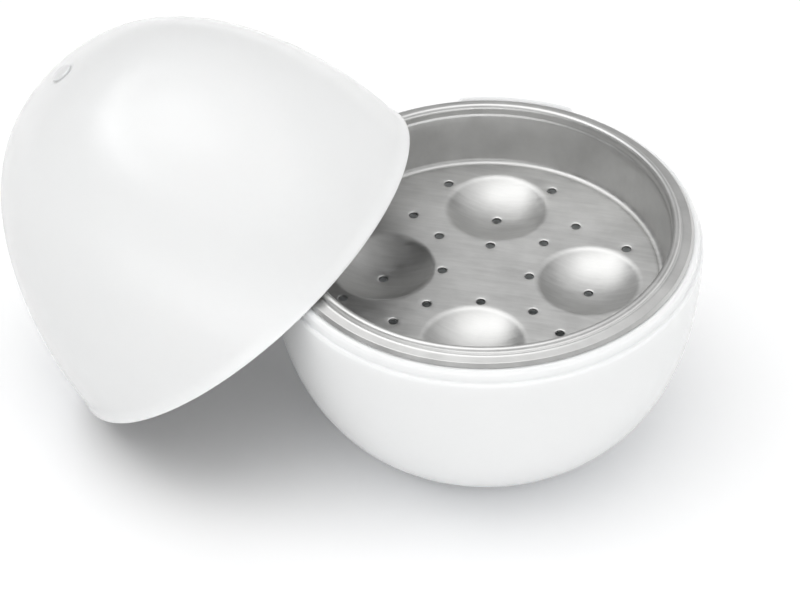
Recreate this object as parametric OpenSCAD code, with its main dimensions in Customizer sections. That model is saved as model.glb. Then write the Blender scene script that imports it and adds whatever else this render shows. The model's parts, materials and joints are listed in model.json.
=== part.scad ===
// Egg-shaped microwave cooker for four eggs: a moulded base that holds water, a pressed
// metal pan with egg dishes and steam holes, and a domed lid with a metal liner.
// The lid is off and leans on the base's rim. Millimetres, +Z up, origin at the centre
// of the base's foot on the table. The lid leans towards -X.

/* [Base shell] */
// Widest diameter of the base, and of the lid over its lip
body_d = 147; // [144:0.5:156]
// Height of the collar's flat top, which carries the pan, above the table
collar_h = 77; // [70:0.5:84]
// Height above the table at which the egg curve of the base would be widest
belly_h = 89; // [84:0.5:96]
// How far the egg curve would sink below the table if the foot did not cut it off
belly_sink = 6.4; // [4:0.1:10]
// Exponent of the egg curve: 2 is an ellipse, more is squarer
belly_power = 2.85; // [2.4:0.05:3.3]
// Wall thickness of the base
base_wall = 2.6; // [2:0.1:3.2]
// Height of the base's inner floor above the table
base_floor = 3.2; // [2.6:0.1:5]
// Width of the ledge below the collar
ledge_w = 1.5; // [1:0.1:2]
// Depth of the ledge below the collar's top
ledge_drop = 4.3; // [3.6:0.1:6]
// Height of the rounding on the ledge's outer edge
ledge_round = 1.5; // [0.6:0.1:2]
// Radius of the fillet between the ledge and the collar
ledge_fillet = 0.6; // [0.3:0.1:0.8]
// Radial thickness of the collar
collar_wall = 3.4; // [3:0.1:4.2]
// Outer radius of the collar's top edge
collar_round = 1.7; // [0.8:0.1:1.9]
// Outer diameter of the foot ring
foot_d = 80; // [66:0.5:82]
// Width of the foot ring
foot_w = 5; // [3:0.5:10]
// Height of the foot ring
foot_h = 0.8; // [0.5:0.1:1.4]
// Height of the moulded water line above the table
water_line_h = 22; // [14:0.5:40]
// How far the water line stands out of the inner wall
water_line_rise = 0.5; // [0.3:0.1:0.9]
// Height of the water line's own band
water_line_band = 2; // [1.4:0.1:3]

/* [Lug on the collar] */
// Angle that the lug spans
lug_span = 32; // [20:1:40]
// Angle of the lug's middle, counter-clockwise from +X
lug_angle = 94; // [86:1:100]
// Radial thickness of the lug
lug_w = 1.7; // [1.2:0.1:2]
// How far the lug stands above the collar's top
lug_rise = 1; // [0.6:0.1:1.6]
// Play between the lug and the pan's rolled edge
lug_play = 0.3; // [0.2:0.05:0.4]

/* [Pan] */
// Sheet thickness of the pan
pan_sheet = 0.8; // [0.5:0.05:1]
// Diameter of the roll along the pan's edge
pan_roll_d = 1.5; // [1.3:0.1:1.8]
// Gap under the rolled edge where it sits on the collar
pan_seat_gap = 0.25; // [0.15:0.05:0.35]
// Distance from the pan's outer edge in to the crest of its stiffening bead
bead_inset = 5.9; // [5.4:0.1:6.4]
// Width of the stiffening bead
bead_w = 3.1; // [2.6:0.1:3.6]
// Height of the bead's crest above the centre of the rolled edge
bead_rise = 3.1; // [2.6:0.1:3.6]
// Height of the bead above the crease at its outer foot
bead_h = 1.9; // [1.5:0.1:2.2]
// Width of the inward step between the bead and the wall
step_w = 0.45; // [0.2:0.05:0.7]
// Height of that step
step_h = 0.8; // [0.6:0.1:1.2]
// Depth of the step below the crease
step_drop = 1.4; // [1:0.1:2]
// Depth of the pan's floor below the centre of the rolled edge
pan_depth = 19.5; // [12:0.5:24]
// How much the pan's wall leans in from its top to the floor
wall_draft = 1.2; // [0.6:0.1:2]
// Width of the gutter around the raised floor
gutter_w = 2.6; // [2:0.1:3.4]
// Depth of the gutter below the floor
gutter_depth = 0.5; // [0.2:0.1:0.9]
// Width of the slope from the floor down into the gutter
gutter_side = 0.5; // [0.3:0.1:0.8]

/* [Egg dishes and steam holes] */
// Number of egg dishes
dish_count = 4; // [3:1:5]
// Diameter of an egg dish at the floor, with its rounded shoulder
dish_d = 37; // [33:0.5:38]
// Depth of an egg dish
dish_depth = 5.8; // [4:0.1:7]
// Radius of the shoulder where a dish leaves the floor
dish_round = 4; // [2:0.1:5]
// Radius of the circle through the dishes' centres
dish_circle_r = 35; // [33:0.5:36]
// Turn of the pan in the base, counter-clockwise
pan_turn = 6.4; // [0:0.1:12]
// Diameter of a steam hole
hole_d = 3.2; // [2.4:0.1:3.8]
// Radius of the inner circle of steam holes, in line with the dishes
hole_inner_r = 14.8; // [12:0.1:15]
// Radius of the second circle of steam holes, between the dishes
hole_mid_r = 25.4; // [22:0.1:28]
// Radius of the third circle of steam holes, between the dishes
hole_far_r = 39.6; // [36:0.1:44]
// Radius of the outer circle of steam holes, in pairs beside each dish
hole_rim_r = 49.6; // [48:0.1:52]
// Angle from a dish's middle to each hole of its pair
hole_pair_angle = 21.2; // [20:0.1:24]

/* [Lid shell] */
// How far the lip at the mouth stands out from the dome
lip_w = 0.7; // [0.3:0.1:1]
// Height of the lip, with its blend into the dome
lip_h = 5; // [3:0.5:8]
// Height of the dome from its mouth
lid_h = 94.4; // [80:0.2:104]
// Exponent of the dome curve along its height: more leaves the upright later
dome_height_power = 1.63; // [1.5:0.01:2]
// Exponent of the dome curve across its radius: more is blunter at the top
dome_radius_power = 2.45; // [2.2:0.01:2.8]
// Wall thickness of the lid shell
lid_wall = 2.1; // [1.8:0.1:2.4]
// Radius of the mouth's outer edge
mouth_round = 0.6; // [0.3:0.1:0.9]

/* [Lid liner] */
// Sheet thickness of the liner
liner_sheet = 0.8; // [0.5:0.05:1]
// Gap between the lid shell and the liner
liner_gap = 0.9; // [0.7:0.1:1.2]
// Diameter of the roll along the liner's edge
liner_roll_d = 1.5; // [1.3:0.1:1.7]
// Depth of the liner's rolled edge inside the lid's mouth
liner_inset = 1; // [0.9:0.1:3]
// Play between the liner's roll and the shell around it
liner_play = 0.15; // [0.1:0.05:0.25]
// Height of the rib that stops the liner's roll
rib_h = 2.4; // [1.6:0.1:4]

/* [Vent plug] */
// Diameter of the plug's head
plug_head_d = 7.6; // [6.8:0.1:9]
// Thickness of the plug's head
plug_head_t = 1; // [0.8:0.1:1.2]
// Radius of the head's upper edge and of the stem's tip
plug_round = 0.4; // [0.2:0.1:0.6]
// How far the head stands above the dome
plug_rise = 0.7; // [0.5:0.1:0.8]
// Height of the steam slots under the head
plug_slot_h = 0.5; // [0.3:0.1:0.6]
// Width of the steam slots
plug_slot_w = 1; // [0.6:0.1:1.6]
// Diameter of the plug's stem
plug_stem_d = 4.4; // [3.4:0.1:4.8]
// Width of the shoulder that carries the head
plug_shoulder_w = 0.7; // [0.5:0.1:1]
// How far the stem reaches past the washer
plug_tip_h = 1.4; // [0.8:0.1:2]
// Diameter of the steam channel in the stem
plug_bore_d = 2; // [1.2:0.1:2.4]
// Radial play of the plug in its holes
plug_play = 0.1; // [0.05:0.05:0.2]
// Outer diameter of the washer that holds the liner
washer_d = 11; // [9:0.5:13]
// Thickness of the washer
washer_t = 1; // [0.6:0.1:1.6]

/* [Lean of the lid] */
// Tilt of the lid's axis away from upright
lean_tilt = 40.3; // [37:0.1:44]
// Gap between the lid's rim and the pan's roll where the lid leans on it
lean_gap = 0.2; // [0.15:0.05:0.4]
// Gap between the lid's lowest edge and the table
table_gap = 0.05; // [0.02:0.01:0.2]

/* [Hidden] */
$fn = 96;
plastic = "white";
metal = "silver";
seat = 0.03;
over = 1;

// Base
body_r = body_d / 2;
collar_r = body_r - ledge_w;
collar_in_r = collar_r - collar_wall;
ledge_z = collar_h - ledge_drop;
foot_r = foot_d / 2;
curve_steps = 26;
inner_steps = 18;

// Pan
lug_in_r = collar_r - lug_w;
pan_edge_r = lug_in_r - lug_play;
pan_roll_r = pan_roll_d / 2;
pan_ring_r = pan_edge_r - pan_roll_r;
pan_ring_z = collar_h + pan_seat_gap + pan_roll_r;
floor_z = pan_ring_z - pan_depth;
bead_r = pan_edge_r - bead_inset;
bead_in_r = bead_r - bead_w / 2;
crease_z = pan_ring_z + bead_rise - bead_h;
wall_top_r = bead_in_r - step_w;
wall_foot_r = wall_top_r - wall_draft;
floor_r = wall_foot_r - gutter_w;
gutter_flat = 0.2;
roll_end = 145;
dish_r = dish_d / 2;
dish_reach = (pow(dish_r, 2) + pow(dish_depth, 2)) / (2 * dish_depth);
dish_ball_r = dish_reach - dish_round;
dish_side = asin(dish_r / dish_reach);

// Lid, in its own frame: the mouth's centre is the origin and +Z runs to the top
mouth_r = body_r;
dome_r = mouth_r - lip_w;
shell_in_r = dome_r - lid_wall;
shell_in_h = lid_h - lid_wall;
liner_roll_r = liner_roll_d / 2;
liner_ring_r = shell_in_r - liner_play - liner_roll_r;
liner_ring_z = liner_inset + liner_roll_r;
rib_z = liner_ring_z + liner_roll_r + seat;
rib_r = shell_in_r - liner_gap + liner_play;
liner_in_r = shell_in_r - liner_gap - liner_sheet;
liner_in_h = shell_in_h - liner_gap - seat - liner_sheet;
dome_steps = 40;
stem_hole_r = plug_stem_d / 2 + plug_play;
shoulder_r = plug_stem_d / 2 + plug_shoulder_w;
head_z = lid_h + plug_rise - plug_head_t;
shoulder_z = head_z - plug_slot_h;
washer_z = dome_z(washer_d / 2, liner_in_r, liner_in_h) - seat - washer_t;
tip_z = washer_z - plug_tip_h;

// Lean: the mouth rests on the table at its lowest point, and the inner edge of the rim
// meets the pan's rolled edge at one point on each side
low_r = mouth_r - mouth_round;
lean_z = table_gap + mouth_round * (1 - cos(lean_tilt)) + low_r * sin(lean_tilt);
roll_level = pan_ring_z - lean_z;
roll_fall = roll_level / sin(lean_tilt);
rest_gap = pan_roll_r + lean_gap;
lean_x = touch_x(pan_ring_r * cos(45), 6) + roll_level / tan(lean_tilt);

// Distance along X from the pan's axis to where its rolled edge crosses the plane of the
// mouth. The slope at which it crosses depends on that distance, so it takes a few steps.
function touch_x(x, steps) =
    steps == 0 ? x :
    let (
        off_axis = sqrt(pow(pan_ring_r, 2) + pow(roll_fall, 2) - pow(x, 2)),
        slope = (roll_fall * cos(lean_tilt) + x) / (off_axis * sin(lean_tilt)),
        target = shell_in_r - rest_gap * sqrt(1 + pow(slope, 2))
    )
    touch_x(sqrt(pow(pan_ring_r, 2) + pow(roll_fall, 2) - pow(target, 2)), steps - 1);

// Radius of the base's egg curve at a height, in from its surface by a wall
function belly_r(z, wall = 0) =
    let (part = (belly_h - z) / (belly_h + belly_sink - wall))
    (body_r - wall) * pow(1 - pow(max(part, 0), belly_power), 1 / belly_power);

// Points [radius, height] of a dome curve from its mouth to its top
function dome_points(r, h) = [
    for (i = [0:dome_steps])
        let (part = sin(90 * i / dome_steps))
        [r * pow(1 - pow(part, dome_height_power), 1 / dome_radius_power), h * part]
];

// Height of a dome curve at a distance from its axis
function dome_z(x, r, h) = h * pow(1 - pow(x / r, dome_radius_power), 1 / dome_height_power);

// Points of an arc around a centre
function arc_points(x, y, r, from, to, steps, squash = 1) = [
    for (i = [0:steps])
        let (a = from + (to - from) * i / steps)
        [x + r * cos(a), y + r * squash * sin(a)]
];

// Unit normal on the right of the line from one point to another
function side_normal(a, b) =
    let (d = b - a)
    [d[1], -d[0]] / norm(d);

// A run of points moved to its right by a sheet's thickness
function offset_points(p, t) = [
    for (i = [0:len(p) - 1])
        let (
            before = side_normal(p[max(i - 1, 0)], p[max(i, 1)]),
            after = side_normal(p[min(i, len(p) - 2)], p[min(i + 1, len(p) - 1)]),
            middle = (before + after) / norm(before + after)
        )
        p[i] + middle * t / (middle * before)
];

function reversed(p) = [for (i = [len(p) - 1:-1:0]) p[i]];

module base_outline() {
    outer_top = ledge_z - ledge_round;
    edge_r = belly_r(outer_top);
    fillet = min(ledge_fillet, (edge_r - collar_r) / 2);
    edge_w = edge_r - collar_r - fillet;
    inner_top = ledge_z - base_wall;
    foot = [
        [0, foot_h],
        [foot_r - foot_w, foot_h],
        [foot_r - foot_w, 0],
        [foot_r, 0],
        [foot_r, foot_h]
    ];
    outer = [
        for (i = [0:curve_steps])
            let (z = foot_h + (outer_top - foot_h) * sin(90 * i / curve_steps))
            [belly_r(z), z]
    ];
    ledge = arc_points(edge_r - edge_w, outer_top, edge_w, 0, 90, 5, ledge_round / edge_w);
    corner = arc_points(collar_r + fillet, ledge_z + fillet, fillet, 247.5, 180, 3);
    collar = arc_points(collar_r - collar_round, collar_h - collar_round, collar_round, 0, 90, 6);
    inner = [
        for (i = [0:inner_steps])
            let (z = inner_top + (base_floor - inner_top) * (1 - cos(90 * i / inner_steps)))
            [belly_r(z, base_wall), z]
    ];
    polygon(concat(
        foot,
        outer,
        ledge,
        corner,
        collar,
        [[collar_in_r, collar_h], [collar_in_r, ledge_z]],
        inner,
        [[0, base_floor]]
    ));
}

// A low rounded ring on the inner wall that shows how much water to pour in
module water_line() {
    bottom = water_line_h - water_line_band / 2;
    top = water_line_h + water_line_band / 2;
    inside = belly_r(water_line_h, base_wall);
    rotate_extrude() polygon([
        [belly_r(bottom, base_wall) + seat, bottom],
        [inside - water_line_rise, water_line_h - water_line_band / 6],
        [inside - water_line_rise, water_line_h + water_line_band / 6],
        [belly_r(top, base_wall) + seat, top],
        [inside + base_wall / 2, water_line_h]
    ]);
}

module lug() {
    edge_round = lug_w / 3;
    top = collar_h + lug_rise;
    rotate([0, 0, -lug_span / 2]) rotate_extrude(angle = lug_span) polygon(concat(
        [[lug_in_r, collar_h - collar_round], [collar_r, collar_h - collar_round]],
        arc_points(collar_r - edge_round, top - edge_round, edge_round, 0, 90, 4),
        [[lug_in_r, top]]
    ));
}

module base() {
    color(plastic) {
        rotate_extrude() base_outline();
        water_line();
        rotate([0, 0, lug_angle]) lug();
    }
}

// Upper surface of the pan, [radius, height], from the middle of its floor to its edge
function pan_surface() =
    let (
        gutter_z = floor_z - gutter_depth,
        corner = gutter_w - gutter_side - gutter_flat
    )
    concat(
        [[0, floor_z], [floor_r, floor_z], [floor_r + gutter_side, gutter_z]],
        arc_points(wall_foot_r - corner, gutter_z + corner, corner, -80, -4, 6),
        [[wall_top_r, crease_z - step_drop - step_h], [bead_in_r, crease_z - step_drop]],
        arc_points(bead_r, crease_z, bead_w / 2, 180, 8, 12, bead_h * 2 / bead_w),
        [[pan_ring_r - pan_roll_r, pan_ring_z + pan_roll_r / 3]]
    );

// The pan's section: its sheet, with the roll around the outer edge
module pan_outline() {
    surface = pan_surface();
    underside = offset_points(surface, pan_sheet);
    polygon(concat(
        surface,
        arc_points(pan_ring_r, pan_ring_z, pan_roll_r, roll_end, -roll_end, 12),
        reversed([for (i = [0:len(underside) - 2]) underside[i]])
    ));
}

// Upper surface of one dish, from its lowest point to the floor
function dish_surface() = concat(
    [
        for (i = [0:8])
            let (a = dish_side * i / 8)
            [dish_ball_r * sin(a), dish_ball_r * (1 - cos(a)) - dish_depth]
    ],
    [
        for (i = [3:-1:0])
            let (a = dish_side * i / 4)
            [dish_r - dish_round * sin(a), dish_round * (cos(a) - 1)]
    ]
);

module at_dishes() {
    for (i = [0:dish_count - 1])
        rotate([0, 0, pan_turn + 360 * i / dish_count])
            translate([0, dish_circle_r, floor_z]) children();
}

module steam_hole(r, angle) {
    rotate([0, 0, pan_turn + angle])
        translate([0, r, floor_z - dish_depth - 2 * over])
            cylinder(d = hole_d, h = dish_depth + 3 * over);
}

module steam_holes() {
    for (i = [0:dish_count - 1]) {
        turn = 360 * i / dish_count;
        between = turn + 180 / dish_count;
        steam_hole(dish_circle_r, turn);
        steam_hole(hole_inner_r, turn);
        steam_hole(hole_mid_r, between);
        steam_hole(hole_far_r, between);
        steam_hole(hole_rim_r, turn - hole_pair_angle);
        steam_hole(hole_rim_r, turn + hole_pair_angle);
    }
}

module pan() {
    surface = dish_surface();
    underside = offset_points(surface, pan_sheet);
    color(metal) difference() {
        union() {
            rotate_extrude() pan_outline();
            at_dishes() rotate_extrude()
                polygon(concat(surface, [[dish_r, -pan_sheet]], reversed(underside)));
        }
        at_dishes() rotate_extrude() polygon(concat(surface, [[dish_r, over], [0, over]]));
        steam_holes();
    }
}

// Moves a piece from the lid's own frame to where the lid leans
module lean() {
    translate([-lean_x, 0, lean_z]) rotate([0, -lean_tilt, 0]) children();
}

// How far the lip stands out at a height above the mouth
function lip_out(z) = z >= lip_h ? 0 : lip_w * pow(cos(90 * z / lip_h), 2);

module shell_outline() {
    outer = [
        for (p = dome_points(dome_r, lid_h))
            if (p[1] > mouth_round) [p[0] + lip_out(p[1]), p[1]]
    ];
    inner = [
        for (p = dome_points(shell_in_r, shell_in_h))
            if (p[1] > rib_z + rib_h) p
    ];
    polygon(concat(
        [[shell_in_r, 0]],
        arc_points(mouth_r - mouth_round, mouth_round, mouth_round, -90, 0, 5),
        outer,
        reversed(inner),
        [[rib_r, rib_z + rib_h / 3], [rib_r, rib_z], [shell_in_r, rib_z]]
    ));
}

module lid_shell() {
    boss_z = shell_in_h - liner_gap;
    color(plastic) lean() difference() {
        union() {
            rotate_extrude() shell_outline();
            translate([0, 0, boss_z]) cylinder(d = washer_d, h = liner_gap + over / 2);
        }
        translate([0, 0, boss_z - over]) cylinder(r = stem_hole_r, h = lid_h - boss_z + 2 * over);
        translate([0, 0, shoulder_z]) cylinder(r = plug_head_d / 2 + plug_play, h = lid_wall);
    }
}

module lid_liner() {
    inner = [
        for (p = dome_points(liner_in_r, liner_in_h))
            if (p[1] > rib_z) p
    ];
    color(metal) lean() difference() {
        rotate_extrude() polygon(concat(
            reversed(inner),
            arc_points(liner_ring_r, liner_ring_z, liner_roll_r, 160, 440, 12),
            offset_points(inner, liner_sheet)
        ));
        translate([0, 0, liner_in_h - 2 * over]) cylinder(r = stem_hole_r, h = liner_sheet + 4 * over);
    }
}

module vent_plug() {
    stem_r = plug_stem_d / 2;
    head_r = plug_head_d / 2;
    head_top = head_z + plug_head_t;
    color(plastic) lean() difference() {
        rotate_extrude() polygon(concat(
            [[0, tip_z], [stem_r - plug_round, tip_z], [stem_r, tip_z + plug_round]],
            [[stem_r, shoulder_z], [shoulder_r, shoulder_z], [shoulder_r, head_z], [head_r, head_z]],
            arc_points(head_r - plug_round, head_top - plug_round, plug_round, 0, 90, 4),
            [[0, head_top]]
        ));
        translate([0, 0, tip_z - over]) cylinder(d = plug_bore_d, h = head_z - tip_z + over);
        for (turn = [0, 90])
            rotate([0, 0, turn])
                translate([-head_r, -plug_slot_w / 2, shoulder_z - over])
                    cube([plug_head_d, plug_slot_w, plug_slot_h + over]);
    }
}

module plug_washer() {
    color(plastic) lean() translate([0, 0, washer_z]) difference() {
        cylinder(d = washer_d, h = washer_t);
        translate([0, 0, -over]) cylinder(r = plug_stem_d / 2 + seat, h = washer_t + 2 * over);
    }
}

base();
pan();
lid_shell();
lid_liner();
vent_plug();
plug_washer();
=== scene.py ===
import json
import math

import bmesh
import bpy
import numpy as np
from mathutils import Matrix, Vector
from mathutils.geometry import delaunay_2d_cdt


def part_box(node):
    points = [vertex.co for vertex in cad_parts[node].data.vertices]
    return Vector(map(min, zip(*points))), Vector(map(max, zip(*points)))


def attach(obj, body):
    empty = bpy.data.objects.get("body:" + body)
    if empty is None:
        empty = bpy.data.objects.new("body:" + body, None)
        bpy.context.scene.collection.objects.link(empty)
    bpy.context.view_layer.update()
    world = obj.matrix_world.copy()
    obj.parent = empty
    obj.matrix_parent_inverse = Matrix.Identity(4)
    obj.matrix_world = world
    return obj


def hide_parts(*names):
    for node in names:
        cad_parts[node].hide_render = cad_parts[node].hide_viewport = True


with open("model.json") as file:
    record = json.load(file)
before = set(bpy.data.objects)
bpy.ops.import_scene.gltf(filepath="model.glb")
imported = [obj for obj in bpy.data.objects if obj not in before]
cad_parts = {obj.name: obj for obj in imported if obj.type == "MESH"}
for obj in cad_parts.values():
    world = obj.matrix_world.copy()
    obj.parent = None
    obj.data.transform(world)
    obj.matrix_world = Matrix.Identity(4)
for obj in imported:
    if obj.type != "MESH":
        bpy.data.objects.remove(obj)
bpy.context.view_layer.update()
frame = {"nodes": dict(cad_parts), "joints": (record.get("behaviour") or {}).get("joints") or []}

# Units: the sizes below are in millimetres and degrees, and every mesh is made in them and scaled to metres
MM = 0.001

# Fineness of the meshes
TURNS = 288               # profiles in a whole turn
MERGE_DISTANCE = 0.002    # corners nearer to each other than this become one
SMOOTH_BELOW = 32.0       # edges that turn by less are shaded smooth
PAN_SMOOTH_BELOW = 40.0
ON_AXIS = 1e-6            # a radius that counts as none

# Base
BODY_R = 73.5
COLLAR_H = 77.0
BELLY_H = 89.0            # height at which the egg curve would be widest
BELLY_SINK = 6.4          # how far below the table the egg curve would end
BELLY_POWER = 2.85
BASE_WALL = 2.6
BASE_FLOOR = 3.2
BASE_EDGE_ROUND = 0.3
COLLAR_R = 72.0
COLLAR_WALL = 3.4
COLLAR_ROUND = 1.7
LEDGE_Z = 72.7
LEDGE_ROUND = 1.5
LEDGE_FILLET = 0.6
FOOT_R = 40.0
FOOT_W = 5.0
FOOT_H = 0.8
WATER_LINE_H = 22.0
WATER_LINE_RISE = 0.5
WATER_LINE_SPREAD = 0.55
LUG_ANGLE = 94.0
LUG_SPAN = 32.0
LUG_W = 1.7
LUG_RISE = 1.0
LUG_RAMP = 1.6

# Pan
SHEET = 0.8
RING_R = 69.25
RING_Z = 78.0
ROLL_R = 0.75
ROLL_TOP_R = 68.8
ROLL_TOP_Z = 78.6
ROLL_TURN_R = 0.35        # round between the flange and the steep side of the roll
FLOOR_Z = 58.5
BEAD_R = 64.1
BEAD_W = 3.1
BEAD_H = 1.9
CREASE_Z = 79.2           # foot of the bead
STEP_LOW = 2.2            # the inward step starts and ends this far below the crease
STEP_HIGH = 1.3
WALL_TOP_R = 62.1
WALL_FOOT_R = 60.9
WALL_FOOT_Z = 61.0
FLOOR_R = 58.3
GUTTER_DEPTH = 0.5
GUTTER_FLAT = 0.7
DISH_R = 18.5
DISH_DEPTH = 5.8
DISH_ROUND = 4.0
DISH_CIRCLE_R = 35.0
PAN_TURN = 6.4
HOLE_R = 1.6
HOLE_EDGE_W = 0.5
HOLE_EDGE_DROP = 0.16
# The steam holes of one quarter: distance from the axis, and angle from that quarter's dish
HOLE_CIRCLES = ((35.0, 0.0), (14.8, 0.0), (25.4, 45.0), (39.6, 45.0), (49.6, -21.2), (49.6, 21.2))

# Points of the pan's floor
HOLE_TURNS = 28
HOLE_RINGS = ((0.14, 6.4), (0.3, 0.0), (0.5, 6.4))    # distance outside the hole, and turn
HOLE_CLEAR = 0.75
DISH_RING_INNER = (2.6, 15.2, 11)                     # first radius, last radius and count
DISH_RING_OUTER = (15.7, DISH_R + 0.25, 9)
DISH_POINTS_PER_MM = 7
DISH_FEWEST_POINTS = 24
DISH_CLEAR = 0.9
GRID_STEP = 2.2
GRID_ROW = 0.866                                      # height of an even triangle with a side of 1
GRID_ROWS_MORE = 1.2                                  # rows for each column
RIM_RING = 1.0                                        # distance inside the floor's edge
RIM_CLEAR = 2.0

# Lid
LIP_W = 0.7
LIP_H = 5.0
LID_H = 94.4
DOME_HEIGHT_POWER = 1.63
DOME_RADIUS_POWER = 2.45
LID_WALL = 2.1
MOUTH_ROUND = 0.6
MOUTH_BEVEL = 0.15
LINER_GAP = 0.9
LINER_TOP_GAP = 0.03
LINER_ROLL_R = 0.75
LINER_PLAY = 0.15
LINER_INSET = 1.0
RIB_PLAY = 0.05
RIB_H = 0.8
RIB_BLEND_H = 2.4
PLUG_HOLE_R = 2.3
PLUG_RECESS_R = 3.9
PLUG_RECESS_Z = 93.6
PLUG_RECESS_EDGE = (0.25, 0.12)    # width and depth of the bevel round the recess
BOSS_R = 5.5

# Looks
WHITE = (0.905, 0.922, 0.942)
PLUG_WHITE = (0.87, 0.885, 0.9)
PAN_ALUMINIUM = (0.585, 0.585, 0.578)
LINER_ALUMINIUM = (0.6, 0.6, 0.6)
PLASTIC_IOR = 1.49
LIGHT_REACH = 0.004       # metres that light goes in the plastic
POLISH = 0.05             # how much less rough the sheet is where the press draws it
STREAKS_LOST = 0.75       # how much of the rolling streaks is lost there
POLISH_BLEND = 0.002      # metres of height over which the polish comes in

# Camera. It is turned from -Y, looks at the middle of the pan's rim, and is then turned by three small
# angles. The values come from a fit to the photograph. Angles are in radians and the distance is in metres.
CAMERA_TURN = math.radians(12.8)
CAMERA_ELEVATION = 0.69296
CAMERA_DISTANCE = 1.5
CAMERA_PAN = -0.0191673
CAMERA_TILT = -0.0159099
CAMERA_ROLL = -0.0027779
AIM_Z = 78.0
FOCAL_PX = 4470.08
IMAGE_W_PX = 800
SENSOR_W = 36.0

# Studio. The light's four sides are turned like the camera. The zenith has the heights at which its light
# starts and is full, as sines of the elevation, and its strength. Each ring of light has the heights at which
# it starts, is full and ends, and its strengths in front, behind, on the right and on the left.
ZENITH = (0.9, 0.96, 2.3)
LIGHT_RINGS = (
    ((0.62, 0.82, 0.96), (1.0, 1.25, 1.4, 3.95)),
    ((0.26, 0.5, 0.82), (0.35, 0.6, 0.3, 0.0)),
    ((-0.25, 0.1, 0.5), (3.0, 0.6, 1.8, 0.6)),
)
STUDIO_FLOOR_R = 4000.0
STUDIO_FLOOR_TURNS = 96
STUDIO_FLOOR_LIT = (0.8, 0.8, 0.8, 1)
PURE_WHITE = (1.0, 1.0, 1.0, 1)


def arc(x, y, r, start, end, steps, squash=1.0):
    """Points of an arc around a centre."""
    angles = np.radians(np.linspace(start, end, steps + 1))
    return np.stack([x + r * np.cos(angles), y + r * squash * np.sin(angles)], 1)


def line(a, b, steps):
    """Points from a to b."""
    return np.linspace(a, b, steps + 1)


def offset(points, distance):
    """A run of points moved to its right."""
    step = np.diff(points, axis=0)
    normal = np.stack([step[:, 1], -step[:, 0]], 1) / np.linalg.norm(step, axis=1)[:, None]
    before = np.vstack([normal[:1], normal])
    after = np.vstack([normal, normal[-1:]])
    middle = before + after
    middle /= np.linalg.norm(middle, axis=1)[:, None]
    return points + middle * distance / (middle * before).sum(1)[:, None]


def new_object(name, verts, faces, matrix=None, smooth_below=SMOOTH_BELOW):
    """A mesh object, given in millimetres, with its faces turned outwards and smooth up to an angle."""
    mesh = bpy.data.meshes.new(name)
    mesh.from_pydata([tuple(v) for v in np.asarray(verts) * MM], [], faces)
    if matrix is not None:
        mesh.transform(matrix)
    made = bmesh.new()
    made.from_mesh(mesh)
    bmesh.ops.remove_doubles(made, verts=made.verts, dist=MERGE_DISTANCE * MM)
    bmesh.ops.recalc_face_normals(made, faces=made.faces)
    made.to_mesh(mesh)
    made.free()
    mesh.shade_smooth()
    mesh.set_sharp_from_angle(angle=math.radians(smooth_below))
    obj = bpy.data.objects.new(name, mesh)
    bpy.context.scene.collection.objects.link(obj)
    return obj


def lathe(angles, profiles, joined=False):
    """Vertices and faces of a profile of radii and heights swept round +Z, with one profile for each angle.
    joined closes the profile from its last point to its first."""
    verts = []
    for angle, profile in zip(angles, profiles):
        a = math.radians(angle)
        verts += [(r * math.cos(a), r * math.sin(a), z) for r, z in profile]
    faces = []
    count = len(profiles[0])
    on_axis = [r <= ON_AXIS for r, z in profiles[0]]
    for i in range(len(angles)):
        k = (i + 1) % len(angles)
        for j in range(count if joined else count - 1):
            n = (j + 1) % count
            corners = [i * count + j, k * count + j, k * count + n, i * count + n]
            if on_axis[j]:
                corners.pop(1)
            elif on_axis[n]:
                corners.pop(2)
            faces.append(corners)
    return verts, faces


def even_angles():
    """Evenly spaced angles of a whole turn."""
    return [360 * i / TURNS for i in range(TURNS)]


def even_rings(profile):
    """Evenly spaced angles, and the same profile for each of them."""
    return even_angles(), [profile] * TURNS


# Shapes

def belly_r(z, wall=0.0):
    """Radius of the base's egg curve, or of its inner side."""
    part = np.clip((BELLY_H - z) / (BELLY_H + BELLY_SINK - wall), 0, None)
    return (BODY_R - wall) * (1 - part ** BELLY_POWER) ** (1 / BELLY_POWER)


def collar_profiles():
    """The collar's top from its outer side inwards, without a lug and through a lug, in as many points."""
    in_r = COLLAR_R - LUG_W
    top = COLLAR_H + LUG_RISE
    edge = LUG_W / 3
    bevel = 0.2
    low = COLLAR_H - COLLAR_ROUND
    plain = arc(COLLAR_R - COLLAR_ROUND, low, COLLAR_ROUND, 0, 90, 12)
    lug = np.vstack([
        line((COLLAR_R, low), (COLLAR_R, top - edge), 3)[:-1],
        arc(COLLAR_R - edge, top - edge, edge, 0, 90, 6),
        [(in_r + bevel, top), (in_r, top - bevel), (in_r, COLLAR_H)],
    ])
    return plain, lug


def foot_points():
    """The underside of the base from its middle to the outer side of the foot ring."""
    low = FOOT_H - 0.1
    in_r = FOOT_R - FOOT_W
    edge = BASE_EDGE_ROUND
    return np.vstack([
        [(0, FOOT_H), (in_r - edge, FOOT_H)],
        arc(in_r + edge, edge, edge, 180, 270, 3),
        arc(FOOT_R - edge, edge, edge, 270, 360, 3),
        [(FOOT_R, low)],
    ])


def bowl_points():
    """The inner side of the base below the collar, with the fill line for the water."""
    top = LEDGE_Z - BASE_WALL
    z = top + (BASE_FLOOR - top) * (1 - np.cos(np.radians(np.linspace(0, 90, 60))))
    rise = np.exp(-((z - WATER_LINE_H) / WATER_LINE_SPREAD) ** 2) * WATER_LINE_RISE
    return np.stack([belly_r(z, BASE_WALL) - rise, z], 1)


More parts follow.
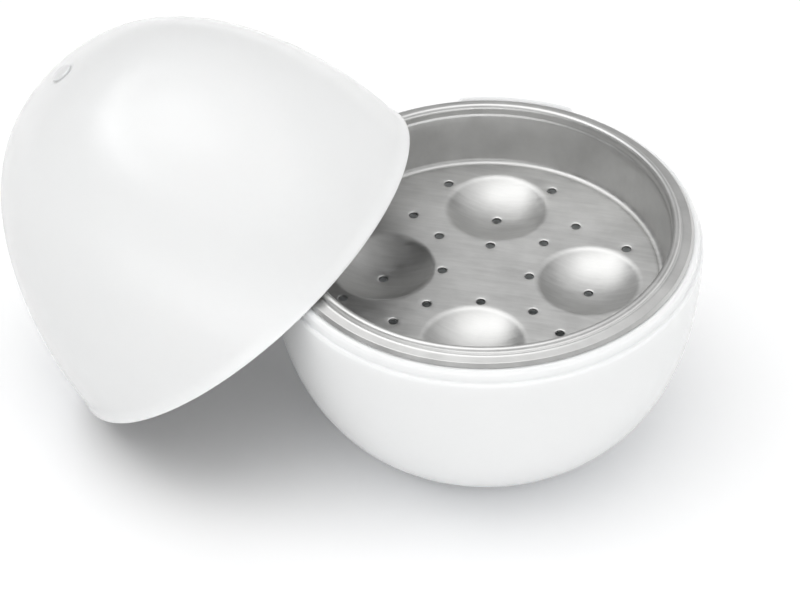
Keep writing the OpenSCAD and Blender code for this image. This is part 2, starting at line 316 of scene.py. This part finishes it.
def base_profile(lug):
    """The base's section, from the middle of its underside round to the middle of its inner floor. lug is how
    much of a lug it goes through, from 0 to 1."""
    outer_top = LEDGE_Z - LEDGE_ROUND
    outer_z = FOOT_H + (outer_top - FOOT_H) * np.sin(np.radians(np.linspace(0, 90, 70)))
    ledge_r = float(belly_r(outer_top))
    ledge_w = ledge_r - COLLAR_R - LEDGE_FILLET
    plain, raised = collar_profiles()
    collar_in_r = COLLAR_R - COLLAR_WALL
    edge = BASE_EDGE_ROUND
    return np.vstack([
        foot_points(),
        np.stack([belly_r(outer_z), outer_z], 1),
        arc(ledge_r - ledge_w, outer_top, ledge_w, 0, 90, 10, LEDGE_ROUND / ledge_w)[1:],
        arc(COLLAR_R + LEDGE_FILLET, LEDGE_Z + LEDGE_FILLET, LEDGE_FILLET, 260, 180, 5),
        plain * (1 - lug) + raised * lug,
        arc(collar_in_r + edge, COLLAR_H - edge, edge, 90, 180, 3),
        line((collar_in_r, COLLAR_H - 2 * edge), (collar_in_r, LEDGE_Z), 2),
        bowl_points(),
        [(0, BASE_FLOOR)],
    ])


def lug_part(angle):
    """How much of a lug the base has at an angle, with a short ramp at each end of the lug."""
    away = abs((angle - LUG_ANGLE + 180) % 360 - 180)
    t = min(max((LUG_SPAN / 2 - away) / LUG_RAMP + 0.5, 0), 1)
    return t * t * (3 - 2 * t)


def make_base():
    """The bowl, with more profiles at the ends of the lug."""
    half = 4
    angles = set(even_angles())
    for side in (-1, 1):
        end = LUG_ANGLE + side * LUG_SPAN / 2
        angles |= {(end + LUG_RAMP * k / (2 * half)) % 360 for k in range(-half, half + 1)}
    angles = sorted(angles)
    verts, faces = lathe(angles, [base_profile(lug_part(a)) for a in angles])
    return new_object("base_bowl", verts, faces)


def dish_points():
    """Centres of the egg dishes."""
    a = np.radians(PAN_TURN + 90 + 90 * np.arange(4))
    return np.stack([DISH_CIRCLE_R * np.cos(a), DISH_CIRCLE_R * np.sin(a)], 1)


def hole_points():
    """Centres of the steam holes."""
    out = []
    for k in range(4):
        for r, turn in HOLE_CIRCLES:
            a = math.radians(PAN_TURN + 90 + 90 * k + turn)
            out.append((r * math.cos(a), r * math.sin(a)))
    return np.array(out)


def dish_height(d):
    """Height of a dish below the floor at a distance from its centre: a ball's cap and a round shoulder."""
    reach = (DISH_R ** 2 + DISH_DEPTH ** 2) / (2 * DISH_DEPTH)
    ball = reach - DISH_ROUND
    side = math.asin(DISH_R / reach)
    inside = ball - DISH_DEPTH - np.sqrt(np.maximum(ball ** 2 - d ** 2, 0))
    shoulder = np.sqrt(np.maximum(DISH_ROUND ** 2 - (DISH_R - d) ** 2, 0)) - DISH_ROUND
    return np.where(d < ball * math.sin(side), inside, np.where(d < DISH_R, shoulder, 0.0))


def floor_height(xy):
    """Height of the pan's upper surface inside the gutter, which bends down a little at the steam holes."""
    z = np.full(len(xy), FLOOR_Z)
    for centre in dish_points():
        z += dish_height(np.hypot(*(xy - centre).T))
    for centre in hole_points():
        away = np.hypot(*(xy - centre).T) - HOLE_R
        z -= HOLE_EDGE_DROP * np.clip(1 - away / HOLE_EDGE_W, 0, 1) ** 2
    return z


def ring_points(centre, r, count, turn=0.0):
    """Evenly spaced points of a circle."""
    a = np.radians(turn + 360 * np.arange(count) / count)
    return np.stack([centre[0] + r * np.cos(a), centre[1] + r * np.sin(a)], 1)


def hole_rings():
    """Points round the steam holes."""
    return np.vstack([ring_points(hole, HOLE_R + away, HOLE_TURNS, turn)
                      for hole in hole_points() for away, turn in HOLE_RINGS])


def dish_rings():
    """Points in the dishes, with each ring turned against the one before it."""
    radii = np.concatenate([np.linspace(*DISH_RING_INNER), np.linspace(*DISH_RING_OUTER)])
    rings = []
    for centre in dish_points():
        for i, r in enumerate(radii):
            count = max(int(r * DISH_POINTS_PER_MM), DISH_FEWEST_POINTS)
            rings.append(ring_points(centre, r, count, 180 * i / count))
    return np.vstack(rings)


def floor_rows():
    """A grid of even triangles over the floor, outside the dishes."""
    n = int(FLOOR_R / GRID_STEP) + 1
    rows = int(n * GRID_ROWS_MORE)
    grid = np.array([(GRID_STEP * (i + 0.5 * (j % 2)), GRID_STEP * GRID_ROW * j)
                     for i in range(-n, n + 1) for j in range(-rows, rows + 1)])
    near_dish = np.min([np.hypot(*(grid - c).T) for c in dish_points()], 0) < DISH_R + DISH_CLEAR
    return grid[~near_dish & (np.hypot(*grid.T) < FLOOR_R - RIM_CLEAR)]


def floor_grid():
    """The pan's floor in plan: points, and triangles that leave the steam holes open."""
    holes = hole_points()
    loops = [ring_points((0, 0), FLOOR_R, TURNS)]
    loops += [ring_points(hole, HOLE_R, HOLE_TURNS) for hole in holes]
    edge = ring_points((0, 0), FLOOR_R - RIM_RING, TURNS // 2)
    others = np.vstack([dish_rings(), edge, floor_rows()])
    from_hole = np.min([np.hypot(*(others - hole).T) for hole in holes], 0)
    free = np.vstack([hole_rings(), others[from_hole > HOLE_R + HOLE_CLEAR]])
    points, edges, start = [], [], 0
    for loop in loops:
        points += [tuple(p) for p in loop]
        edges += [(start + i, start + (i + 1) % len(loop)) for i in range(len(loop))]
        start += len(loop)
    points += [tuple(p) for p in free]
    inside_only, precision = 1, 1e-7
    made = delaunay_2d_cdt([Vector(p) for p in points], edges, [], inside_only, precision)
    xy = np.array([tuple(v) for v in made[0]])
    within_hole = HOLE_R * 0.99
    faces = []
    for face in made[2]:
        middle = xy[list(face)].mean(0)
        if np.min(np.hypot(*(holes - middle).T)) > within_hole:
            faces.append(tuple(face))
    return xy, faces


def pan_floor():
    """Vertices and faces of the floor's sheet with walls in its steam holes, open at its outer edge."""
    xy, tops = floor_grid()
    z = floor_height(xy)
    count = len(xy)
    verts = np.vstack([np.column_stack([xy, z]), np.column_stack([xy, z - SHEET])])
    faces = tops + [tuple(count + i for i in reversed(face)) for face in tops]
    sides = dict.fromkeys((a, b) for face in tops for a, b in zip(face, face[1:] + face[:1]))
    at_hole = np.hypot(*xy.T) < FLOOR_R - RIM_RING / 2
    for a, b in sides:
        if (b, a) not in sides and at_hole[a]:
            faces.append((b, a, count + a, count + b))
    return verts, faces


def pan_edge_surface():
    """Upper surface of the pan from the floor's edge: gutter, wall, inward step, bead and flange."""
    gutter_z = FLOOR_Z - GUTTER_DEPTH
    corner = WALL_FOOT_R - FLOOR_R - GUTTER_FLAT
    bead_in_r = BEAD_R - BEAD_W / 2
    bead_out_r = BEAD_R + BEAD_W / 2
    step_z = CREASE_Z - STEP_HIGH
    edge = [(FLOOR_R, FLOOR_Z), (FLOOR_R + 0.12, FLOOR_Z - 0.04), (FLOOR_R + 0.42, gutter_z + 0.06)]
    gutter = arc(WALL_FOOT_R - corner, gutter_z + corner, corner, -88, -4, 12)
    wall = line((WALL_FOOT_R + 0.1, WALL_FOOT_Z), (WALL_TOP_R, CREASE_Z - STEP_LOW), 6)
    step = [(WALL_TOP_R + 0.1, step_z - 0.65), (bead_in_r - 0.08, step_z - 0.3), (bead_in_r, step_z)]
    bead = arc(BEAD_R, CREASE_Z, BEAD_W / 2, 180, 8, 26, BEAD_H * 2 / BEAD_W)
    flange = line((bead_out_r + 0.3, CREASE_Z - 0.1), (ROLL_TOP_R - 0.1, ROLL_TOP_Z + 0.02), 4)
    return np.vstack([edge, gutter, wall, step, bead, flange])


def roll_points():
    """The rolled edge: a steep side that turns down from the flange, and a round under it."""
    outer, low = RING_R + ROLL_R, RING_Z - ROLL_R
    turn = ROLL_TURN_R
    top = arc(ROLL_TOP_R, ROLL_TOP_Z - turn, turn, 76, 38, 5)
    side = line((ROLL_TOP_R + turn * 0.8, ROLL_TOP_Z - turn * 0.4), (outer - 0.06, low + 0.2), 4)[1:]
    corner = [(outer - 0.1, low + 0.07), (outer - 0.25, low)]
    under = arc(RING_R, RING_Z, ROLL_R, -90, -150, 7)
    return np.vstack([top, side, corner, under])


def pan_edge_profile():
    """The sheet's section outside the floor, from its upper side over the roll to its underside."""
    surface = pan_edge_surface()
    under = offset(surface, SHEET)
    under[0] = (FLOOR_R, FLOOR_Z - SHEET)
    return np.vstack([surface, roll_points(), under[-2::-1]])


def make_pan():
    """The floor, and the edge that is swept round it."""
    floor_verts, floor_faces = pan_floor()
    edge_verts, edge_faces = lathe(*even_rings(pan_edge_profile()))
    start = len(floor_verts)
    faces = floor_faces + [[start + corner for corner in face] for face in edge_faces]
    return new_object("pan_sheet", np.vstack([floor_verts, edge_verts]), faces, smooth_below=PAN_SMOOTH_BELOW)


def dome(r, h, low, high, steps):
    """Points of a dome curve between two heights."""
    part = np.sin(np.linspace(math.asin(low / h), math.asin(min(high / h, 1)), steps + 1))
    radius = r * np.maximum(1 - part ** DOME_HEIGHT_POWER, 0) ** (1 / DOME_RADIUS_POWER)
    return np.stack([radius, h * part], 1)


def dome_z(x, r, h):
    """Height of a dome curve at a distance from its axis."""
    return h * (1 - (x / r) ** DOME_RADIUS_POWER) ** (1 / DOME_HEIGHT_POWER)


def lid_matrix():
    """From the lid's own frame, in metres, to where the lid leans. The place comes from the CAD shell's box,
    and the tilt from the axis of the lid's joint."""
    axis = Vector(next(j for j in frame["joints"] if j["name"] == "lid_lift")["axis"]).normalized()
    tilt = math.atan2(-axis.x, axis.z)
    low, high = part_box("lid_shell")
    low_r = (BODY_R - MOUTH_ROUND) * MM
    edge = MOUTH_ROUND * MM
    z = low.z + edge * (1 - math.cos(tilt)) + low_r * math.sin(tilt)
    x = high.x - low_r * math.cos(tilt) - edge * (1 - math.sin(tilt))
    return Matrix.Translation((x, 0, z)) @ Matrix.Rotation(-tilt, 4, "Y")


def make_lid_shell(matrix):
    """The outer dome with its lip, the plug's recess, the boss inside and the rib above the liner's edge."""
    dome_r = BODY_R - LIP_W
    in_r, in_h = dome_r - LID_WALL, LID_H - LID_WALL
    bevel_w, bevel_h = PLUG_RECESS_EDGE
    top_z = dome_z(PLUG_RECESS_R + bevel_w, dome_r, LID_H)
    outer = dome(dome_r, LID_H, MOUTH_ROUND, top_z, 130)
    blend = np.clip(outer[:, 1] / LIP_H, 0, 1)
    outer[:, 0] += LIP_W * np.cos(np.pi / 2 * blend) ** 2
    boss_z = in_h - LINER_GAP
    rib_z = LINER_INSET + 2 * LINER_ROLL_R + RIB_PLAY
    rib_r = in_r - LINER_GAP + LINER_PLAY
    inner = dome(in_r, in_h, rib_z + RIB_BLEND_H, dome_z(BOSS_R, in_r, in_h), 100)
    profile = np.vstack([
        [(in_r, MOUTH_BEVEL), (in_r + MOUTH_BEVEL, 0)],
        arc(BODY_R - MOUTH_ROUND, MOUTH_ROUND, MOUTH_ROUND, -90, 0, 8),
        outer[1:],
        [(PLUG_RECESS_R, top_z - bevel_h), (PLUG_RECESS_R, PLUG_RECESS_Z), (PLUG_HOLE_R, PLUG_RECESS_Z)],
        [(PLUG_HOLE_R, boss_z), (BOSS_R, boss_z)],
        inner[::-1],
        [(rib_r, rib_z + RIB_H), (rib_r, rib_z), (in_r, rib_z)],
    ])
    verts, faces = lathe(*even_rings(profile), joined=True)
    return new_object("lid_dome", verts, faces, matrix)


def make_lid_liner(matrix):
    """The metal dome inside the lid, with its rolled edge."""
    shell_in_r = BODY_R - LIP_W - LID_WALL
    in_r = shell_in_r - LINER_GAP - SHEET
    in_h = LID_H - LID_WALL - LINER_GAP - LINER_TOP_GAP - SHEET
    ring_r = shell_in_r - LINER_PLAY - LINER_ROLL_R
    ring_z = LINER_INSET + LINER_ROLL_R
    above_ring, above_roll = ring_z + 0.2, ring_z + LINER_ROLL_R * 0.9
    inner = dome(in_r, in_h, above_ring, dome_z(PLUG_HOLE_R, in_r, in_h), 110)
    outer = offset(inner, SHEET)
    outer = outer[outer[:, 1] > above_roll]
    profile = np.vstack([inner[::-1], arc(ring_r, ring_z, LINER_ROLL_R, 170, 430, 20), outer])
    verts, faces = lathe(*even_rings(profile), joined=True)
    return new_object("lid_reflector", verts, faces, matrix)


# Nodes

def put(node, socket, value):
    """Links another node's output to a socket, or sets the socket's value."""
    if hasattr(value, "is_output"):
        node.id_data.links.new(value, node.inputs[socket])
    else:
        node.inputs[socket].default_value = value


def add_node(tree, kind, inputs=(), **settings):
    """A new node with its settings, and its inputs by name or number."""
    node = tree.nodes.new(kind)
    for key, value in settings.items():
        setattr(node, key, value)
    for socket, value in dict(inputs).items():
        put(node, socket, value)
    return node


def calc(tree, operation, *values):
    """The result of a sum on numbers or outputs."""
    return add_node(tree, "ShaderNodeMath", enumerate(values), operation=operation).outputs["Value"]


def remap(tree, value, low, high, to_low=0.0, to_high=1.0):
    """A value moved from one range to another, and held inside it."""
    inputs = enumerate((value, low, high, to_low, to_high))
    return add_node(tree, "ShaderNodeMapRange", inputs).outputs["Result"]


def noise(tree, place, scale, detail, roughness=0.5):
    """Cloudy noise from about 0 to 1."""
    inputs = {"Vector": place, "Scale": scale, "Detail": detail, "Roughness": roughness}
    return add_node(tree, "ShaderNodeTexNoise", inputs).outputs["Fac"]


def tinted(tree, part, colour, dark, light):
    """A colour that goes from darker to lighter with a part from 0 to 1."""
    low, high = [(*[c * shade for c in colour], 1) for shade in (dark, light)]
    inputs = {"Factor": part, "A": low, "B": high}
    return add_node(tree, "ShaderNodeMix", inputs, data_type="RGBA").outputs["Result"]


def bump(tree, height, strength, distance):
    """A normal from a height."""
    inputs = {"Height": height, "Strength": strength, "Distance": distance}
    return add_node(tree, "ShaderNodeBump", inputs).outputs["Normal"]


# Materials

def new_material(name):
    """A material, its shader and its node tree."""
    material = bpy.data.materials.new(name)
    material.use_nodes = True
    return material, material.node_tree.nodes["Principled BSDF"], material.node_tree


def plastic(name, colour, roughness):
    """Glossy moulded plastic that lets a little light through: a faint orange peel with a fine grain, and
    patches that are a little duller than the rest."""
    material, shader, tree = new_material(name)
    place = add_node(tree, "ShaderNodeTexCoord").outputs["Object"]
    patches = noise(tree, place, scale=22.0, detail=3.0)
    peel = noise(tree, place, scale=420.0, detail=2.0)
    grain = noise(tree, place, scale=3200.0, detail=1.0)
    rough = remap(tree, patches, low=0.3, high=0.7, to_low=roughness - 0.03, to_high=roughness + 0.04)
    put(shader, "Roughness", rough)
    put(shader, "Base Color", tinted(tree, patches, colour, dark=0.985, light=1.01))
    put(shader, "Normal", bump(tree, calc(tree, "ADD", peel, grain), strength=0.035, distance=0.0004))
    put(shader, "IOR", PLASTIC_IOR)
    put(shader, "Subsurface Weight", 1.0)
    put(shader, "Subsurface Radius", (1.0, 1.0, 1.0))
    put(shader, "Subsurface Scale", LIGHT_REACH)
    return material


def rolling(tree, place):
    """Coordinates in which a noise makes streaks, as a mill's rollers leave them."""
    inputs = {"Vector": place, "Scale": (90.0, 700.0, 90.0)}
    return add_node(tree, "ShaderNodeMapping", inputs).outputs["Vector"]


def turning(tree, place):
    """Coordinates in which a noise makes rings round the height axis, as a lathe leaves them."""
    x, y, z = add_node(tree, "ShaderNodeSeparateXYZ", {"Vector": place}).outputs
    flat = add_node(tree, "ShaderNodeCombineXYZ", {"X": x, "Y": y}).outputs["Vector"]
    away = add_node(tree, "ShaderNodeVectorMath", {0: flat}, operation="LENGTH").outputs["Value"]
    around = calc(tree, "MULTIPLY", calc(tree, "ARCTAN2", x, y), 1.5)
    outward = calc(tree, "MULTIPLY", away, 1400.0)
    up = calc(tree, "MULTIPLY", z, 1400.0)
    return add_node(tree, "ShaderNodeCombineXYZ", {"X": around, "Y": outward, "Z": up}).outputs["Vector"]


def aluminium(name, colour, roughness, streak_place, polished_above=None):
    """Satin aluminium sheet with streaks and cloudy patches. The press polishes what lies above a height."""
    material, shader, tree = new_material(name)
    place = add_node(tree, "ShaderNodeTexCoord").outputs["Object"]
    streaks = noise(tree, streak_place(tree, place), scale=1.0, detail=4.0, roughness=0.6)
    if polished_above:
        z = add_node(tree, "ShaderNodeSeparateXYZ", {"Vector": place}).outputs["Z"]
        polish = remap(tree, z, polished_above, polished_above + POLISH_BLEND)
        faded = {"Factor": calc(tree, "MULTIPLY", polish, STREAKS_LOST), "A": streaks, "B": 0.5}
        streaks = add_node(tree, "ShaderNodeMix", faded).outputs["Result"]
    clouds = noise(tree, place, scale=80.0, detail=6.0, roughness=0.62)
    dull = calc(tree, "ADD", streaks, clouds)
    rough = remap(tree, dull, low=0.7, high=1.3, to_low=roughness - 0.08, to_high=roughness + 0.08)
    if polished_above:
        rough = calc(tree, "MULTIPLY_ADD", polish, -POLISH, rough)
    shade = remap(tree, dull, low=0.75, high=1.25)
    height = calc(tree, "MULTIPLY", streaks, clouds)
    put(shader, "Roughness", rough)
    put(shader, "Base Color", tinted(tree, shade, colour, dark=0.91, light=1.09))
    put(shader, "Normal", bump(tree, height, strength=0.08, distance=0.0006))
    put(shader, "Metallic", 1.0)
    return material


def floor_material():
    """White floor. What the camera and reflections see of it is paler than what lights the object."""
    material, shader, tree = new_material("studio_floor")
    put(shader, "Base Color", STUDIO_FLOOR_LIT)
    put(shader, "Roughness", 0.9)
    put(shader, "Specular IOR Level", 0.0)
    path = add_node(tree, "ShaderNodeLightPath").outputs
    seen = calc(tree, "MAXIMUM", path["Is Camera Ray"], path["Is Glossy Ray"])
    seen = calc(tree, "MAXIMUM", seen, path["Is Transmission Ray"])
    bright = add_node(tree, "ShaderNodeBsdfDiffuse", {"Color": PURE_WHITE}).outputs["BSDF"]
    both = add_node(tree, "ShaderNodeMixShader", enumerate((seen, shader.outputs["BSDF"], bright)))
    output = next(n for n in tree.nodes if n.type == "OUTPUT_MATERIAL")
    put(output, "Surface", both.outputs["Shader"])
    return material


# Studio

def make_floor():
    """A large disc at the height of the table."""
    rim = ring_points((0, 0), STUDIO_FLOOR_R, STUDIO_FLOOR_TURNS)
    floor = new_object("studio_floor", [(x, y, 0.0) for x, y in rim], [tuple(range(len(rim)))])
    floor.data.materials.append(floor_material())


def make_world():
    """Studio surroundings: rings of soft light, one above the other, that differ from side to side."""
    world = bpy.data.worlds.new("studio")
    world.use_nodes = True
    bpy.context.scene.world = world
    tree = world.node_tree
    place = add_node(tree, "ShaderNodeTexCoord").outputs["Generated"]
    turned = add_node(tree, "ShaderNodeMapping", {"Vector": place, "Rotation": (0, 0, -CAMERA_TURN)})
    x, y, z = add_node(tree, "ShaderNodeSeparateXYZ", {"Vector": turned.outputs["Vector"]}).outputs
    level = calc(tree, "SQRT", calc(tree, "SUBTRACT", 1.0, calc(tree, "MULTIPLY", z, z)))
    level = calc(tree, "MAXIMUM", level, 0.001)
    sides = []
    for axis, sign in ((y, -1.0), (y, 1.0), (x, 1.0), (x, -1.0)):
        toward = calc(tree, "MAXIMUM", calc(tree, "MULTIPLY", axis, sign), 0.0)
        sides.append(calc(tree, "DIVIDE", toward, level))
    zenith_start, zenith_full, zenith_strength = ZENITH
    total = remap(tree, z, zenith_start, zenith_full, to_high=zenith_strength)
    for (low, middle, high), strengths in LIGHT_RINGS:
        ring = calc(tree, "MINIMUM", remap(tree, z, low, middle), remap(tree, z, high, middle))
        for side, strength in zip(sides, strengths):
            squared = calc(tree, "MULTIPLY", side, side)
            part = calc(tree, "MULTIPLY", calc(tree, "MULTIPLY", ring, strength), squared)
            total = calc(tree, "ADD", total, part)
    background = tree.nodes["Background"]
    put(background, "Color", PURE_WHITE)
    put(background, "Strength", total)


def turn_pair(a, b, angle):
    """Two directions turned in their plane, from the first towards the second."""
    return a * math.cos(angle) + b * math.sin(angle), b * math.cos(angle) - a * math.sin(angle)


def make_camera():
    """The photograph's camera."""
    sin_up, cos_up = math.sin(CAMERA_ELEVATION), math.cos(CAMERA_ELEVATION)
    start = [Vector((0, cos_up, -sin_up)), Vector((1, 0, 0)), Vector((0, sin_up, cos_up))]
    forward, right, up = [Matrix.Rotation(CAMERA_TURN, 3, "Z") @ v for v in start]
    place = Vector((0, 0, AIM_Z * MM)) - forward * CAMERA_DISTANCE
    forward, right = turn_pair(forward, right, CAMERA_PAN)
    forward, up = turn_pair(forward, up, CAMERA_TILT)
    right, up = turn_pair(right, up, CAMERA_ROLL)
    camera = bpy.data.objects.new("camera", bpy.data.cameras.new("camera"))
    camera.data.sensor_width = SENSOR_W
    camera.data.lens = FOCAL_PX / IMAGE_W_PX * SENSOR_W
    camera.data.clip_end = 50.0
    bpy.context.scene.collection.objects.link(camera)
    camera.matrix_world = Matrix.Translation(place) @ Matrix((right, up, -forward)).transposed().to_4x4()
    bpy.context.scene.camera = camera


def dress(obj, material, body, node):
    """Gives a new piece its material, and its place in the frame."""
    obj.data.materials.clear()
    obj.data.materials.append(material)
    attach(obj, body)
    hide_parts(node)


def main():
    """Makes the pieces, the studio and the camera."""
    drawn_above = (FLOOR_Z + 1) * MM
    white = plastic("white_plastic", WHITE, roughness=0.22)
    plug_white = plastic("plug_plastic", PLUG_WHITE, roughness=0.26)
    pan_metal = aluminium("pan_metal", PAN_ALUMINIUM, 0.44, rolling, polished_above=drawn_above)
    liner_metal = aluminium("liner_metal", LINER_ALUMINIUM, 0.4, turning)
    lean = lid_matrix()
    dress(make_base(), white, "base", "base")
    dress(make_pan(), pan_metal, "pan", "pan")
    dress(make_lid_shell(lean), white, "lid", "lid_shell")
    dress(make_lid_liner(lean), liner_metal, "lid", "lid_liner")
    for node in ("vent_plug", "plug_washer"):
        kept = frame["nodes"][node]
        kept.data.materials.clear()
        kept.data.materials.append(plug_white)
    make_floor()
    make_world()
    make_camera()
    bpy.context.scene.view_settings.view_transform = "Standard"


main()
